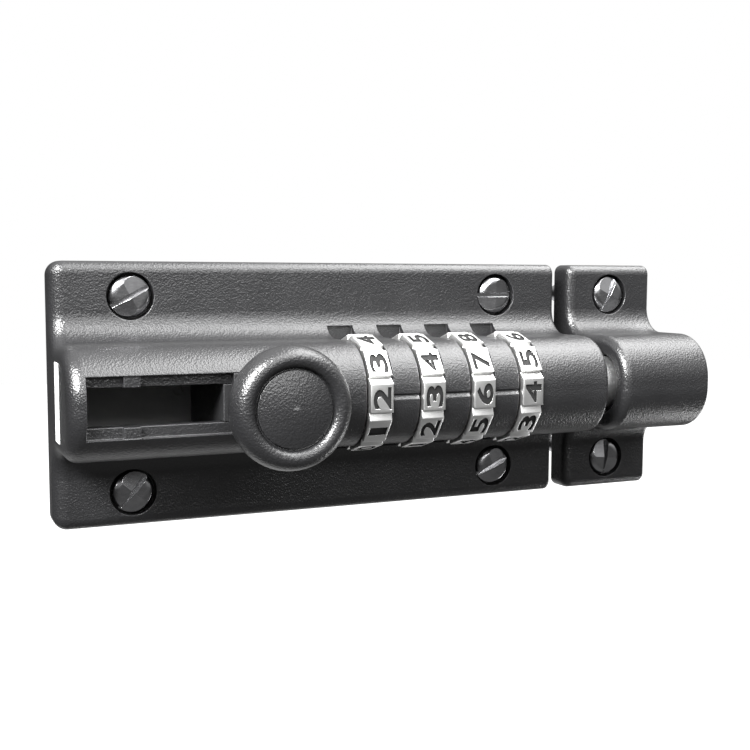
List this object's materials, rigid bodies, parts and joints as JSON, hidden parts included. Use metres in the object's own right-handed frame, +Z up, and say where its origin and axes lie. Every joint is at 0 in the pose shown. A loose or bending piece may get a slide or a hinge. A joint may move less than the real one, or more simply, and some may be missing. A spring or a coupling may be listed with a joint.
{
  "type": "combination slide bolt",
  "caption": "Surface-mounted door bolt with number wheels, a round sliding bolt moved by a mushroom knob, and a separate keep that receives the bolt.",
  "frame": {"origin": "middle of the four case screws on the plane of the case's back face", "axes": "+X along the bolt towards the keep, -Y out of the door, +Z up across the plate"},
  "size_m": [0.1488, 0.0663, 0.056],
  "materials": {
    "case_coat": "satin",
    "cover_steel": "satin",
    "small_screws": "satin",
    "spring_steel": "satin",
    "small_rivets": "satin",
    "label_white": "matte",
    "screw_steel": "polished",
    "keep_coat": "satin",
    "keep_screw_steel": "polished",
    "washer_steel": "satin",
    "rod_chrome": "polished",
    "carriage_coat": "satin",
    "guide_plate": "satin",
    "knob_coat": "satin",
    "inner_screw": "satin",
    "ball_steel": "polished",
    "wire_steel": "satin",
    "wheel_1_plate": "satin",
    "ring_brass": "satin",
    "wheel_2_plate": "satin",
    "wheel_3_plate": "satin",
    "wheel_4_plate": "satin"
  },
  "bodies": {
    "case_body": {"case": "case_coat", "back_cover": "cover_steel", "cover_screws": "small_screws", "leaf_spring": "spring_steel", "leaf_rivets": "small_rivets", "label_plate": "label_white", "case_screws": "screw_steel", "keep": "keep_coat", "keep_screws": "keep_screw_steel", "wave_washer_1": "washer_steel", "wave_washer_2": "washer_steel", "wave_washer_3": "washer_steel", "wave_washer_4": "washer_steel"},
    "bolt_body": {"bolt_rod": "rod_chrome", "carriage": "carriage_coat", "guide_plate": "guide_plate", "knob": "knob_coat", "knob_screw": "inner_screw", "detent_ball": "ball_steel", "detent_spring": "wire_steel"},
    "wheel_1_body": {"number_wheel_1": "wheel_1_plate", "code_ring_1": "ring_brass"},
    "wheel_2_body": {"number_wheel_2": "wheel_2_plate", "code_ring_2": "ring_brass"},
    "wheel_3_body": {"number_wheel_3": "wheel_3_plate", "code_ring_3": "ring_brass"},
    "wheel_4_body": {"number_wheel_4": "wheel_4_plate", "code_ring_4": "ring_brass"}
  },
  "joints": [
    {"name": "bolt_slide", "type": "slide", "parent": "case_body", "child": "bolt_body", "axis": [-1, 0, 0], "range_m": [0, 0.01813]},
    {"name": "wheel_1_spin", "type": "hinge", "parent": "case_body", "child": "wheel_1_body", "pos_m": [0.00293, -0.0192, 0], "axis": [1, 0, 0], "continuous": true},
    {"name": "wheel_2_spin", "type": "hinge", "parent": "case_body", "child": "wheel_2_body", "pos_m": [0.01502, -0.0192, 0], "axis": [1, 0, 0], "continuous": true},
    {"name": "wheel_3_spin", "type": "hinge", "parent": "case_body", "child": "wheel_3_body", "pos_m": [0.02711, -0.0192, 0], "axis": [1, 0, 0], "continuous": true},
    {"name": "wheel_4_spin", "type": "hinge", "parent": "case_body", "child": "wheel_4_body", "pos_m": [0.0392, -0.0192, 0], "axis": [1, 0, 0], "continuous": true}
  ]
}
